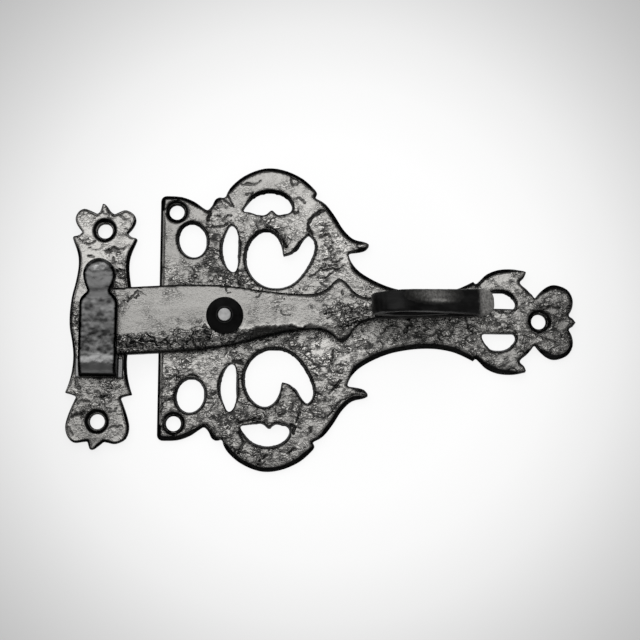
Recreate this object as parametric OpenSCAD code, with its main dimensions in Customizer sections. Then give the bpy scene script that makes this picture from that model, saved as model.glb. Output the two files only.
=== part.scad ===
// Casement fastener: fretted back plate, swinging lever with a scrolled handle, and its hook keeper.
// Millimetres. The part lies on its back: plate backs on z = 0, +Z towards the room,
// +X along the plate towards the handle. The pivot axis is the Z axis.

/* [Back plate] */
// Length of the back plate, end to end
plate_len = 125; // [90:1:170]
// Height of the back plate over its two big scrolls
plate_h = 91.4; // [70:0.5:130]
// Thickness of the back plate
plate_t = 4; // [3:0.1:6]
// Width of the sloping edge round the back plate
plate_bevel = 1.5; // [0.5:0.1:1.9]
// Draft of the fretted openings, each side
fret_draft = 0.9; // [0.2:0.05:1.1]
// Distance from the plate's straight end to the pivot
pivot_x = 19.9; // [16:0.1:28]

/* [Screw holes] */
// Clearance hole for a No. 8 countersunk wood screw
screw_d = 4.5; // [3.5:0.1:5.5]
// Diameter of the countersink at the face
screw_head_d = 7.5; // [6:0.1:10]
// Distance from the straight end to its pair of screws
screw_end = 4.9; // [4:0.1:8]
// Distance from the straight end's corners to its screws
screw_corner = 5.1; // [4:0.1:8]
// Distance from the far point to the end screw
screw_far = 11.3; // [9:0.1:14]
// Distance from the keeper's points to its two screws
screw_keeper = 8.35; // [7:0.05:10]

/* [Pivot] */
// Diameter of the rivet's bearing
rivet_d = 7; // [5:0.1:9]
// Diameter of the rivet's peened end
rivet_end_d = 4.4; // [3:0.1:6]
// Diameter of the rivet's countersunk head in the plate's back
rivet_head_d = 11; // [9:0.1:14]
// Outside diameter of the dished washer
washer_d = 11; // [9:0.1:15]
// Height of the dished washer
washer_h = 2.9; // [1.5:0.1:4]
// Outside diameter of the friction washer under the lever
friction_d = 15; // [11:0.1:18]
// Thickness of the friction washer
friction_t = 1; // [0.6:0.1:2]

/* [Lever] */
// Reach of the tongue from the pivot
tongue_len = 40.5; // [32:0.1:50]
// Width of the tongue
tongue_w = 19.8; // [15:0.1:24]
// Thickness of the lever
lever_t = 5; // [4:0.1:7]
// Chamfer round the lever's front
lever_chamfer = 0.4; // [0.2:0.05:1]
// Distance from the pivot to the handle's far bend
handle_reach = 79.7; // [66:0.1:100]
// Lever angle when closed, handle up and tongue down
closed_angle = 3.56; // [0:0.01:6]

/* [Handle] */
// Height of the scroll over the lever's face
scroll_h = 19.5; // [14:0.1:26]
// Width of the handle at its neck
handle_neck_w = 6; // [5:0.1:8]
// Width of the handle at its far bend
handle_end_w = 7.7; // [6:0.1:11]
// Thickness of the scrolled bar
scroll_t = 3.4; // [2.6:0.1:4.2]

/* [Keeper] */
// Height of the keeper plate between its points
keeper_h = 73.8; // [60:0.1:95]
// Width of the keeper plate
keeper_w = 20; // [17:0.1:26]
// Distance from the pivot to the middle of the keeper
keeper_x = 37; // [33:0.1:48]
// Drop of the keeper's middle below the pivot
keeper_drop = 2.8; // [0:0.1:6]
// Lean of the keeper, top towards the plate
keeper_lean = 1.2; // [0:0.1:4]
// How far the keeper's lower point leans to the left
keeper_tip_lean = 1.3; // [0:0.1:2]
// Width of the sloping edge round the keeper plate
keeper_bevel = 1; // [0.5:0.1:1.2]

/* [Hook] */
// Width of the hook's strap
hook_w = 11.2; // [9:0.1:14]
// Thickness of the hook's strap
hook_t = 3.8; // [3:0.1:5]
// Diameter of the hook's round tip
hook_tip_d = 9.6; // [7:0.1:11]
// Width of the hook's foot
foot_w = 14; // [12:0.1:17]
// Offset of the hook from the middle of the keeper
hook_side_x = 0.1; // [-1:0.1:1]
// Turn of the hook on the keeper
hook_turn = 0.8; // [-2:0.1:2]
// Diameter of the hook's riveted tenon
tenon_d = 5.5; // [4:0.1:7]

/* [Fits] */
// Radial play of the lever on its rivet
pivot_play = 0.08; // [0.03:0.01:0.1]
// Play between flat faces that slide
face_play = 0.05; // [0.02:0.01:0.2]
// Gap between the lever and the hook's strap
strap_gap = 0.7; // [0.4:0.05:1.5]
// Gap between the closed tongue and the hook's foot
rest_gap = 0.5; // [0.4:0.05:1]

/* [Hidden] */
curve_steps = 3;
bore_fn = 96;
kx = plate_len / 125.1;
plate_shift = 19.9 * kx - pivot_x;
screw_x = screw_end - pivot_x;
screw_y = 36.8 * plate_h / 91.4 - screw_corner;
screw_far_x = plate_len - pivot_x - screw_far;
keeper_y = keeper_h / 2 - screw_keeper;
lever_z = plate_t + friction_t + face_play;
lever_top = lever_z + lever_t;
shoulder_z = lever_top + face_play;
washer_top = shoulder_z + washer_h;
strap_z = lever_top + strap_gap;
hook_z = strap_z + hook_t;
iron = "#26272a";
worn = "#3a3b3e";
steel = "#6f7072";

// Smooth curve through the points p, its last point left out
function curve(p, n = curve_steps) = [for (i = [0 : len(p) - 2]) for (j = [0 : n - 1])
    let (t = j / n, a = p[max(i - 1, 0)], b = p[i], c = p[i + 1], d = p[min(i + 2, len(p) - 1)])
    0.5 * (2 * b + (c - a) * t + (2 * a - 5 * b + 4 * c - d) * t * t
        + (3 * b - a - 3 * c + d) * t * t * t)];

// Smooth closed curve through the points p
function ring(p, n = curve_steps) = let (m = len(p)) [for (i = [0 : m - 1]) for (j = [0 : n - 1])
    let (t = j / n, a = p[(i + m - 1) % m], b = p[i], c = p[(i + 1) % m], d = p[(i + 2) % m])
    0.5 * (2 * b + (c - a) * t + (2 * a - 5 * b + 4 * c - d) * t * t
        + (3 * b - a - 3 * c + d) * t * t * t)];

// The closed outline p run anticlockwise
function ccw(p) = let (m = len(p), a = [for (i = [0 : m - 1]) p[i][0] * p[(i + 1) % m][1]
    - p[(i + 1) % m][0] * p[i][1]]) a * [for (i = a) 1] > 0 ? p : [for (i = [m - 1 : -1 : 0]) p[i]];

// How sharply the closed outline p bends near its point i: 1 where it is straight
function bend(p, i, k) = let (m = len(p), s = [for (j = [-k : k - 1])
    norm(p[(i + j + 1 + m) % m] - p[(i + j + m) % m])])
    norm(p[(i + k) % m] - p[(i + m - k) % m]) / (s * [for (j = s) 1]);

// The anticlockwise outline p moved out by d, less at corners sharp over k points
function moved(p, d, k = 3) = let (m = len(p)) [for (i = [0 : m - 1])
    let (a = p[(i + m - 1) % m], b = p[i], c = p[(i + 1) % m], u = (b - a) / norm(b - a),
        v = (c - b) / norm(c - b), w = (u + v) / max(norm(u + v), 0.2))
    b + d * max(0.1, min(1, (min([for (j = [-2 : 2]) bend(p, (i + j + m) % m, k)]) - 0.52) / 0.43))
        / max(norm(u + v) / 2, 0.75) * [w[1], -w[0]]];

// Arc of radius r about c, from angle a0 to a1
function arc(c, r, a0, a1, n = 8) = [for (i = [0 : n]) c + r * [cos(a0 + (a1 - a0) * i / n),
    sin(a0 + (a1 - a0) * i / n)]];

// Points p with those mirrored in the X axis after them, in reverse
function both(p) = concat(p, [for (i = [len(p) - 1 : -1 : 0]) if (abs(p[i][1]) > 0.001)
    [p[i][0], -p[i][1]]]);

// Points p with those mirrored in the Y axis after them, in reverse
function sides(p) = concat(p, [for (i = [len(p) - 1 : -1 : 0]) if (abs(p[i][0]) > 0.001)
    [-p[i][0], p[i][1]]]);

// Upper half of the back plate's outline, from the straight end to the far point
plate_half = concat(
    arc([-18.2, 35.1], 1.7, 180, 100),
    curve([[-18.2, 36.8], [-13.8, 36.6], [-10.1, 35.3], [-7.6, 33.6], [-5.9, 32.5]]),
    curve([[-5.9, 32.5], [-4.6, 33.9], [-3.7, 35.8], [-2.4, 36.6], [-0.9, 36.3], [-0.3, 35.6]]),
    curve([[-0.3, 35.6], [-0.2, 37.6], [1.5, 40.3], [5, 43.2], [9.5, 45.2], [13.5, 45.7],
        [18.1, 44.8], [22.7, 42.6], [26, 39.7], [27.1, 38.1], [26.4, 36.8]]),
    curve([[26.4, 36.8], [29.6, 35], [32.6, 31.2], [35, 27.4], [38, 24.5], [41.4, 23.6],
        [42.9, 22.7], [41.8, 21], [39.4, 20.3], [36.6, 20]]),
    curve([[36.6, 20], [37.6, 17.4], [40.2, 14.5], [44.8, 11.8], [50, 9.8], [56.5, 8.6],
        [62.6, 8.4], [67.8, 9.2], [71.3, 10.5], [74.3, 12]]),
    [[74.3, 12]],
    curve([[75, 11.1], [76.3, 12.3], [78.4, 14.3], [82, 15.7], [86.4, 15.9], [90.3, 15.1]]),
    curve([[90.3, 15.1], [89.5, 13.2], [88.3, 11.8], [90.5, 9.8], [91.8, 8.3], [92.7, 6.9]]),
    curve([[92.7, 6.9], [94.4, 9], [96.7, 10.8], [99.2, 11.3], [102.6, 10], [104.3, 7.2],
        [104.1, 4.2], [102.9, 2]]),
    [[102.9, 2], [104.2, 1.3], [105.2, 0]]);

// Fretted openings of the upper half
fret_oval = [for (a = [0 : 12 : 348]) [-10.1, 23.3] + [3.95 * cos(a) - 0.3 * sin(a), 4.85 * sin(a)]];
fret_slot = ring([[1.3, 28.1], [0, 25.8], [-0.9, 22.6], [-0.9, 19.4], [-0.1, 16.5], [1.1, 14.3],
    [2.4, 13.7], [3.2, 15], [3.3, 18], [3.3, 21], [3.4, 24], [2.9, 26.7]], 2);
fret_scroll = concat(
    curve([[24.7, 25.3], [26.1, 23.6], [26.2, 20.6], [24.7, 16.9], [22.4, 13.3], [19.6, 10.7],
        [16, 9.5], [12, 9.9], [8.6, 12.1], [6.6, 15.5], [6.2, 19], [7.3, 22.7], [9.7, 25.4],
        [12.4, 26.2], [14.8, 24.8], [16.4, 22], [17, 18.8]]),
    curve([[17, 18.8], [19.5, 19.5], [21.8, 21.3], [23.2, 23.8], [24.7, 25.3]]));
fret_crescent = concat(
    curve([[4.7, 32.1], [5.9, 34.2], [8.5, 36.7], [12.1, 37.9], [15.6, 37.5], [18.2, 36],
        [19.4, 34], [18.9, 32.4], [17.2, 32], [15.2, 31.7], [13.4, 33.1], [11.4, 31.6], [8.2, 31.8],
        [4.7, 32.1]]));
fret_eye = concat([[76.9, 3.8]], curve([[76.8, 5.1], [78.3, 7.5], [81.4, 8.6], [84.7, 7.9],
    [86.8, 5.7], [86.6, 3.8]]), [[86.6, 3.8]]);

function flipped(p) = [for (q = p) [q[0], -q[1]]];

// Solid through the outlines in rings, all of one length, at the heights z
module loft(rings, z) {
    m = len(rings[0]);
    n = len(rings);
    polyhedron(points = [for (k = [0 : n - 1]) for (q = rings[k]) [q[0], q[1], z[k]]],
        faces = concat([[for (i = [0 : m - 1]) i]], [[for (i = [m - 1 : -1 : 0]) (n - 1) * m + i]],
            [for (k = [0 : n - 2]) for (i = [0 : m - 1])
                [k * m + i, (k + 1) * m + i, (k + 1) * m + (i + 1) % m, k * m + (i + 1) % m]]));
}

// A plate of thickness t with the outline p, its edge sloping in by b above height z
module bevelled(p, t, z, b) {
    q = ccw(p);
    loft([q, q, moved(q, -b)], [0, z, t]);
}

// An opening with the outline p through a plate of thickness t, wider by the draft at the front
module drafted(p, t, draft) {
    q = ccw(p);
    loft([moved(q, -0.2 * draft), moved(q, 1.2 * draft)], [-0.2 * t, 1.2 * t]);
}

// Countersunk screw hole through a plate of thickness t
module screw_hole(t) {
    d = (screw_head_d - screw_d) / 2;
    translate([0, 0, -1]) cylinder(h = t + 2, d = screw_d, $fn = bore_fn);
    translate([0, 0, t - d]) cylinder(h = d + 0.5, d1 = screw_d, d2 = screw_head_d + 1, $fn = bore_fn);
}

module back_plate() {
    color(iron) difference() {
        translate([plate_shift, 0, 0]) resize([plate_len, plate_h, plate_t]) difference() {
            bevelled(both(plate_half), plate_t, plate_t * 0.35, plate_bevel);
            for (p = [fret_oval, fret_slot, fret_scroll, fret_crescent, fret_eye]) {
                drafted(p, plate_t, fret_draft);
                drafted(flipped(p), plate_t, fret_draft);
            }
        }
        for (s = [-1, 1]) translate([screw_x, s * screw_y, 0]) screw_hole(plate_t);
        translate([screw_far_x, 0, 0]) screw_hole(plate_t);
        translate([0, 0, -1]) cylinder(h = plate_t + 2, d = rivet_d, $fn = bore_fn);
        translate([0, 0, -0.5]) cylinder(h = 2.5, d1 = rivet_head_d + 1, d2 = rivet_d, $fn = bore_fn);
    }
}

// Countersunk head, bearing, shoulder, and the end peened over the dished washer
module pivot_rivet() {
    color(steel) union() {
        cylinder(h = 2, d1 = rivet_head_d, d2 = rivet_d, $fn = bore_fn);
        cylinder(h = shoulder_z, d = rivet_d, $fn = bore_fn);
        translate([0, 0, shoulder_z - 1]) cylinder(h = washer_h + 1, d = rivet_end_d, $fn = bore_fn);
        translate([0, 0, washer_top])
            cylinder(h = 0.35, d1 = rivet_end_d, d2 = rivet_end_d - 0.7, $fn = bore_fn);
    }
}

module dished_washer() {
    r = washer_d / 2;
    e = rivet_end_d / 2;
    color(worn) translate([0, 0, shoulder_z]) rotate_extrude($fn = bore_fn)
        polygon([[e, 0], [r, 0], [r, washer_h * 0.16], [r - 0.25, washer_h * 0.28],
            [e + 0.55, washer_h * 0.95], [e + 0.3, washer_h], [e, washer_h]]);
}

module friction_washer() {
    color(steel) translate([0, 0, plate_t]) difference() {
        cylinder(h = friction_t, d = friction_d, $fn = bore_fn);
        translate([0, 0, -1]) cylinder(h = friction_t + 2, d = rivet_d, $fn = bore_fn);
    }
}

// Half of the lever's outline, upper edge, from the tongue's end to the handle's neck
tw = tongue_w / 2;
nw = handle_neck_w / 2;
tongue_r = tongue_w * 0.33;
tl = tongue_len / 40.5;
lever_half = concat(
    arc([tongue_r - tongue_len, tw - tongue_r], tongue_r, 180, 90, 7),
    curve([[-27 * tl, tw], [-18 * tl, tw], [-10 * tl, tw - 0.1], [-3, tw - 0.6], [4, tw - 1.5],
        [9, tw - 2.5], [14, tw - 3.4], [20, tw - 4.3], [26.5, tw - 4.6], [30.3, tw - 3.5],
        [32.6, tw - 1.4], [34.2, tw - 0.3]]),
    curve([[34.2, tw - 0.3], [36.2, tw - 1.6], [38.4, tw - 4.4], [41, tw - 6.2], [45, nw]]),
    [[45, nw]]);

// Plan of the handle over the lever's neck and bar, to the far bend
he = handle_end_w / 2;
hx = handle_reach;
hl = hx - 45;
handle_half = concat(
    [[42, nw], [45, nw]],
    curve([[45 + hl * 0.06, nw + 0.05], [45 + hl * 0.26, nw + (he - nw) * 0.25],
        [45 + hl * 0.48, nw + (he - nw) * 0.4], [45 + hl * 0.7, nw + (he - nw) * 0.7], [hx - 4.3, he],
        [hx - 2, he - 0.3], [hx - 0.6, he - 1.3], [hx, he - 2.8]]),
    [[hx, he - 2.8]]);

// Side view of the scrolled bar: x along the lever, y above the lever's face
sh = scroll_h / 19.5;
st = scroll_t / 3.4;
hm = (handle_reach - 44) / 36.3;
function sc(x, z) = [44 + (x - 44) * hm, z * sh];
function scroll_side() = concat(
    [[44, -lever_t], sc(60, 0) + [0, -lever_t]],
    curve([sc(71, 0) + [0, 0.2 - lever_t], sc(76.5, 0) + [0, 1.1 - lever_t], sc(79.4, -1.9),
        sc(80.3, 0.3), sc(79.2, 2.3), sc(75.2, 4.9), sc(71, 7.8), sc(66.5, 11), sc(61.5, 14.5),
        sc(56.2, 17.8), sc(51.3, 19.5), sc(46.9, 18.8), sc(43.9, 16.2), sc(42.8, 12.4),
        sc(43.7, 8.2), sc(46.2, 4.7), sc(49.7, 2.6), sc(54, 1.8), sc(58.6, 1.8), sc(62.8, 2.5),
        sc(66.6, 4)]),
    [sc(66.6, 4)],
    curve([sc(65.8, 6.2), sc(62, 4.9), sc(58, 4.4), sc(54.4, 4.6), sc(50.7, 5.7), sc(48.1, 7.7),
        sc(46.7, 10.2) + [st - 1, 0], sc(46.5, 12.8) + [st - 1, 0], sc(47.9, 15) + [st - 1, 0],
        sc(51.2, 16) + [0, 1 - st], sc(54.8, 14.6) + [0, 1 - st], sc(60, 11.2) + [0, 1 - st],
        sc(66.2, 6.9) + [0, 1 - st], sc(71, 3.6), sc(74.4, 1.4), sc(75.6, 0.1), sc(74.6, -0.8),
        sc(70, -0.7), sc(60, -0.3)]),
    [sc(60, -0.3), [45, 0], [44, 0]]);

module scroll() {
    intersection() {
        translate([0, 0, lever_z - 1]) linear_extrude(lever_t + scroll_h + 5) polygon(both(handle_half));
        translate([0, handle_end_w, lever_top]) rotate([90, 0, 0])
            linear_extrude(2 * handle_end_w) polygon(scroll_side());
    }
}

module lever() {
    color(iron) rotate([0, 0, closed_angle]) difference() {
        union() {
            translate([0, 0, lever_z]) resize([tongue_len + 45, tongue_w, lever_t])
                bevelled(both(lever_half), lever_t, lever_t - lever_chamfer, lever_chamfer);
            scroll();
        }
        translate([0, 0, lever_z - 1])
            cylinder(h = lever_t + 2, d = rivet_d + 2 * pivot_play, $fn = bore_fn);
    }
}

// Right half of the keeper's outline, from its upper point to its lower point
kh = keeper_h / 73.8;
keeper_half = concat(
    curve([[0, 36.8], [0.7, 36.3], [1.6, 34.6], [2.6, 33.8]]),
    curve([[2.6, 33.8], [4.3, 34.6], [6.2, 35.2], [8.2, 34.2], [9.1, 32.3], [8.5, 30.2],
        [6.8, 28]]),
    curve([[6.8, 28], [8, 27.1], [9.6, 26.6], [9.3, 25.2], [8.4, 23], [7.7, 20.4], [7.6, 17.2],
        [8.2, 13], [9.2, 8.3], [9.6, 3.2], [9.4, -0.8], [8.6, -4.6], [8, -9], [8.2, -13.6],
        [9, -17.4], [10, -20.3]]),
    curve([[10, -20.3], [8.2, -20.7], [6.6, -21.3]]),
    curve([[6.6, -21.3], [7.7, -23.9], [8.9, -27.2], [9.5, -30.4], [8.6, -33.4], [6.2, -35],
        [3.7, -34.7], [2.4, -34.5]]),
    curve([[2.4, -34.5], [1.6, -35.6], [0.7, -36.7], [0, -37]]), [[0, -37]]);

// The keeper's points moved to the left, the lower one more
function tipped(p) = [for (q = p) [q[0] - keeper_tip_lean * (q[1] < 0 ? 1 : 0.5)
    * max(0, abs(q[1]) - 33.8) / 3, q[1]]];

module at_keeper(x = 0, turn = 0) {
    translate([-keeper_x, -keeper_drop, 0]) rotate([0, 0, turn - keeper_lean]) translate([x, 0, 0])
        children();
}

// Where the closed tongue's lower edge stands, in the hook's own frame
tongue_x = 8 - tongue_len;
tip_x = tongue_x * cos(closed_angle) + tw * sin(closed_angle) + keeper_x;
tip_y = tongue_x * sin(closed_angle) - tw * cos(closed_angle) + keeper_drop;
hook_lean = keeper_lean - hook_turn;
root_y = tip_x * sin(hook_lean) + tip_y * cos(hook_lean) - rest_gap;
foot_y = root_y - 3.2;
foot_h = 3;

module keeper_plate() {
    q = ccw(sides(keeper_half));
    color(iron) at_keeper() difference() {
        resize([keeper_w, keeper_h, plate_t])
            loft([for (r = [q, q, moved(q, -keeper_bevel, 6)]) tipped(r)], [0, plate_t * 0.45, plate_t]);
        for (s = [-1, 1]) translate([0, s * keeper_y, 0]) screw_hole(plate_t);
        rotate([0, 0, hook_turn]) translate([hook_side_x, foot_y, 0]) {
            translate([0, 0, -1]) cylinder(h = plate_t + 2, d = tenon_d, $fn = bore_fn);
            translate([0, 0, -0.5]) cylinder(h = 2, d1 = tenon_d + 4, d2 = tenon_d, $fn = bore_fn);
        }
    }
}

// Half of the strap's front view, from the round tip down to the foot
hr = hook_tip_d / 2;
hw = hook_w / 2;
tip_at = 14.1 * kh;
strap_half = concat(
    arc([0, tip_at], hr, 90, -20, 11),
    [[hr * 0.91, tip_at - hr * 0.5], [hr * 0.81, tip_at - hr * 0.75], [hr * 0.67, tip_at - hr],
        [hw - 0.6, tip_at - hr - 1.7], [hw - 0.15, tip_at - hr - 2.5], [hw, tip_at - hr - 3.6],
        [hw, root_y - 9]]);

// Side view of the hook: x up the keeper, y above its back
ko = root_y - 6.1;
hook_side = concat(
    [[root_y, plate_t], [ko, plate_t], [ko, hook_z - 4.6]],
    arc([ko + 4.4, hook_z - 4.4], 4.4, 180, 96, 8),
    curve([[ko + 8, hook_z + 0.1], [ko + 14, hook_z + 0.35], [ko + 20, hook_z + 0.2],
        [tip_at - 6, hook_z - 0.1], [tip_at, hook_z], [tip_at + hr - 1.5, hook_z + 0.5],
        [tip_at + hr + 1, hook_z + 1.3]]),
    [[tip_at + hr + 1, strap_z + 1.9]],
    curve([[tip_at + hr - 0.7, strap_z + 0.9], [tip_at, strap_z + 0.15], [tip_at - 5, strap_z]]),
    arc([root_y + 0.8, strap_z - 0.8], 0.8, 90, 180, 4));

module keeper_hook() {
    color(worn) at_keeper(hook_side_x, hook_turn) union() {
        intersection() {
            linear_extrude(hook_z + 5) polygon(sides(strap_half));
            translate([-foot_w, 0, 0]) rotate([90, 0, 90]) linear_extrude(2 * foot_w) polygon(hook_side);
        }
        translate([-foot_w / 2, ko - 0.1, plate_t]) cube([foot_w, 5.7, foot_h]);
        translate([0, foot_y, 0]) cylinder(h = plate_t + 1, d = tenon_d, $fn = bore_fn);
        translate([0, foot_y, 0]) cylinder(h = 1.5, d1 = tenon_d + 3, d2 = tenon_d, $fn = bore_fn);
    }
}

back_plate();
lever();
pivot_rivet();
dished_washer();
friction_washer();
keeper_plate();
keeper_hook();
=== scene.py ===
import math

import bpy
import numpy as np
from mathutils import Matrix, Vector, kdtree, noise


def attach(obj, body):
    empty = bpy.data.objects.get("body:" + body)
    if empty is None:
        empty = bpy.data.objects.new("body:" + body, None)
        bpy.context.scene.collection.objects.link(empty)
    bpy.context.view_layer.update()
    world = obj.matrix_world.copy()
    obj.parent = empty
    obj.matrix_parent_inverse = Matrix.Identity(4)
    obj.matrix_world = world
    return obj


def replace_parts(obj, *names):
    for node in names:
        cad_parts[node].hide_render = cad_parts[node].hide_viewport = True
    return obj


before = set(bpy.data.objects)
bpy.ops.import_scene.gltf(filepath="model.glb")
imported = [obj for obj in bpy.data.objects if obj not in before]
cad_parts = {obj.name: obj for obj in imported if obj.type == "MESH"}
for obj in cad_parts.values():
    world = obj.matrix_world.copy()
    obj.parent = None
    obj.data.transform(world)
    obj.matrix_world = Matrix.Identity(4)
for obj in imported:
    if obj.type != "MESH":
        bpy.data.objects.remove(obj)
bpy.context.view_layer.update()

MM = 0.001


# Values that several pieces share, lengths in millimetres

MERGE = 0.002          # vertices of a CAD mesh that are closer than this are one
FACING = (0.35, 0.85)  # a surface becomes front as its normal rises from the first to the second
FINER = 0.3            # a normal that rises more than this may get finer faces
CREASE_DEPTH = 0.4     # how deep the creases of the two castings are
LACQUER_AND_SHADE = 0.012        # the grey of the lacquer where no wear has reached, and of the painted shade on slopes and in creases
WARMTH = 0.02          # how much the rubbed iron leans to red


# Working on one piece at a time

def pick(piece):
    bpy.ops.object.select_all(action="DESELECT")
    piece.select_set(True)
    bpy.context.view_layer.objects.active = piece


def apply_modifier(piece, kind, **settings):
    modifier = piece.modifiers.new(kind.title(), kind)
    for name, value in settings.items():
        setattr(modifier, name, value)
    pick(piece)
    bpy.ops.object.modifier_apply(modifier=modifier.name)


def skin_copy(node, name, voxel):
    """A copy of a CAD solid with its triangles merged and its skin remeshed evenly."""
    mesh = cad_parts[node].data.copy()
    mesh.materials.clear()
    piece = bpy.data.objects.new(name, mesh)
    bpy.context.scene.collection.objects.link(piece)
    pick(piece)
    bpy.ops.mesh.customdata_custom_splitnormals_clear()
    bpy.ops.object.mode_set(mode="EDIT")
    bpy.ops.mesh.select_all(action="SELECT")
    bpy.ops.mesh.remove_doubles(threshold=MERGE * MM)
    bpy.ops.object.mode_set(mode="OBJECT")
    apply_modifier(piece, "REMESH", mode="VOXEL", voxel_size=voxel * MM, use_smooth_shade=True)
    return piece


def points(piece):
    """The piece's vertices in millimetres, and their normals."""
    count = len(piece.data.vertices)
    at, out = np.zeros(count * 3, np.float32), np.zeros(count * 3, np.float32)
    piece.data.vertices.foreach_get("co", at)
    piece.data.vertex_normals.foreach_get("vector", out)
    return at.reshape(-1, 3) / MM, out.reshape(-1, 3)


def step(value, low, high):
    """Rises smoothly from 0 at low to 1 at high."""
    t = np.clip((value - low) / (high - low), 0, 1)
    return t * t * (3 - 2 * t)


def along(value, pairs):
    """The value carried over to the second numbers of the pairs, straight between them."""
    places, results = zip(*pairs)
    return np.interp(value, places, results)


def spots(at, rows):
    """The sum of soft round spots (x, y, radius, amount) at the points, in millimetres."""
    total = np.zeros(len(at))
    for x, y, radius, amount in rows:
        far = np.hypot(at[:, 0] - x, at[:, 1] - y) / radius
        total += amount * np.exp(-far * far)
    return total


def drift(at, size, seed=0.0):
    """Smooth noise, about -1 to 1, over the points, with bumps of the given size in millimetres."""
    return np.array([noise.noise((x / size + seed, y / size, z / size)) for x, y, z in at], np.float32)


def strokes(at, rows):
    """Soft wavy lines (half width, amount, places) over the points, in mm: the strongest counts."""
    most = np.zeros(len(at))
    x, y = at[:, 0] + 0.5 * drift(at, 1.1, 11), at[:, 1] + 0.5 * drift(at, 1.1, 13)
    thin = 0.8 + 0.6 * drift(at, 1.6, 17)
    for half, amount, places in rows:
        for (x0, y0), (x1, y1) in zip(places, places[1:]):
            long = math.hypot(x1 - x0, y1 - y0)
            ux, uy = (x1 - x0) / long, (y1 - y0) / long
            reach = np.clip((x - x0) * ux + (y - y0) * uy, 0, long)
            far = np.hypot(x - x0 - reach * ux, y - y0 - reach * uy) / thin
            most = np.maximum(most, amount * (1 - step(far, 0.4 * half, 1.3 * half)))
    return most


def beside(at, rows, margin=0.4):
    """Which points lie on the lines or within the margin of them."""
    return strokes(at, [(half + margin, 1, places) for half, _, places in rows]) > 0


def cut_finer(piece, chosen):
    """Cuts the faces between the chosen vertices in four."""
    pick(piece)
    bpy.ops.object.mode_set(mode="EDIT")
    bpy.ops.mesh.select_mode(type="VERT")
    bpy.ops.mesh.select_all(action="DESELECT")
    bpy.ops.object.mode_set(mode="OBJECT")
    piece.data.vertices.foreach_set("select", chosen)
    bpy.ops.object.mode_set(mode="EDIT")
    bpy.ops.mesh.select_mode(type="FACE")
    bpy.ops.mesh.subdivide(number_cuts=1)
    bpy.ops.object.mode_set(mode="OBJECT")


def from_walls(at, out, low, steep, most=3.0):
    """How far the front points above the low height lie from a wall steeper than the limit, in
    millimetres, a little nearer where the wall is above the point and farther where it is below.
    The other points get the most."""
    walls = np.flatnonzero((np.abs(out[:, 2]) < steep) & (at[:, 2] > low))
    tree = kdtree.KDTree(len(walls))
    for i in walls:
        tree.insert(at[i], int(i))
    tree.balance()
    far = np.full(len(at), most)
    for i in np.flatnonzero((out[:, 2] >= steep) & (at[:, 2] > low)):
        place, _, away = tree.find(at[i])
        far[i] = min(away - 0.35 * (place[1] - at[i][1]) / max(away, 0.1) + 0.1, most)
    return far


def paint(piece, name, values, levels=20):
    """Keeps the values, 0 to 1, as an attribute for the materials and a group for modifiers."""
    values = np.clip(values, 0, 1).astype(np.float32)
    piece.data.attributes.new(name, "FLOAT", "POINT").data.foreach_set("value", values)
    group = piece.vertex_groups.new(name=name)
    nearest = np.round(values * levels).astype(int)
    for level in range(1, levels + 1):
        group.add(np.flatnonzero(nearest == level).tolist(), level / levels, "REPLACE")


def sink(piece, texture, depth, group):
    """Sinks the skin by up to the depth where the texture is dark."""
    apply_modifier(piece, "DISPLACE", texture=texture, texture_coords="LOCAL", mid_level=1,
                   strength=depth * MM, vertex_group=group)


def lower(piece, depth, group):
    """Lowers the group's skin straight down by up to the depth."""
    apply_modifier(piece, "DISPLACE", direction="Z", mid_level=0, strength=-depth * MM, vertex_group=group)


# Relief of the cast and hammered skins

def relief(name, size, stops=((0, 0), (1, 1)), **settings):
    """A cloud texture with lumps of the given size, its heights set by the stops."""
    texture = bpy.data.textures.new(name, "CLOUDS")
    texture.noise_scale = size * MM
    for key, value in settings.items():
        setattr(texture, key, value)
    texture.use_color_ramp = True
    elements = texture.color_ramp.elements
    while len(elements) < len(stops):
        elements.new(0.5)
    for element, (place, height) in zip(elements, stops):
        element.position = place
        element.color = (height, height, height, 1)
    return texture


swells = relief("mould_swells", 6, noise_depth=1)
lumps = relief("cast_lumps", 2.2, noise_depth=2, stops=((0.3, 0), (0.62, 1)))
creases = relief("cast_creases", 2.8, noise_type="HARD_NOISE", noise_depth=1,
                 stops=((0.02, 0), (0.2, 1)))
hammer_marks = relief("hammer_marks", 1.7, noise_depth=1)


def roughen(piece, rough, front, lines, swell):
    """Paints how rough a casting's front is and where its creases run, and sinks its skin."""
    paint(piece, "rough", rough)
    paint(piece, "lines", lines)
    paint(piece, "front", front)
    paint(piece, "front_rough", front * np.clip(rough, 0, 1))
    sink(piece, swells, swell, "front")
    sink(piece, lumps, 0.14, "front_rough")
    sink(piece, creases, 0.08, "front_rough")
    lower(piece, CREASE_DEPTH, "lines")


# Materials

def material(name):
    made = bpy.data.materials.new(name)
    made.use_nodes = True
    made.node_tree.nodes.clear()
    shader = made.node_tree.nodes.new("ShaderNodeBsdfPrincipled")
    out = made.node_tree.nodes.new("ShaderNodeOutputMaterial")
    made.node_tree.links.new(shader.outputs[0], out.inputs[0])
    return made, made.node_tree, shader


def add(tree, kind, **values):
    """Adds a node, sets its properties and sockets, and links the sockets given as outputs."""
    node = tree.nodes.new("ShaderNode" + kind)
    for name, value in values.items():
        if name.startswith("_"):
            setattr(node, name[1:], value)
            continue
        socket = node.inputs[int(name[2:]) if name.startswith("in") else name]
        if isinstance(value, bpy.types.NodeSocket):
            tree.links.new(value, socket)
        else:
            socket.default_value = value
    return node


def math_node(tree, operation, a, b=0.0, c=0.0):
    return add(tree, "Math", _operation=operation, in0=a, in1=b, in2=c).outputs[0]


def vector_node(tree, operation, a, b, c=(0, 0, 0)):
    return add(tree, "VectorMath", _operation=operation, in0=a, in1=b, in2=c).outputs[0]


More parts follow.
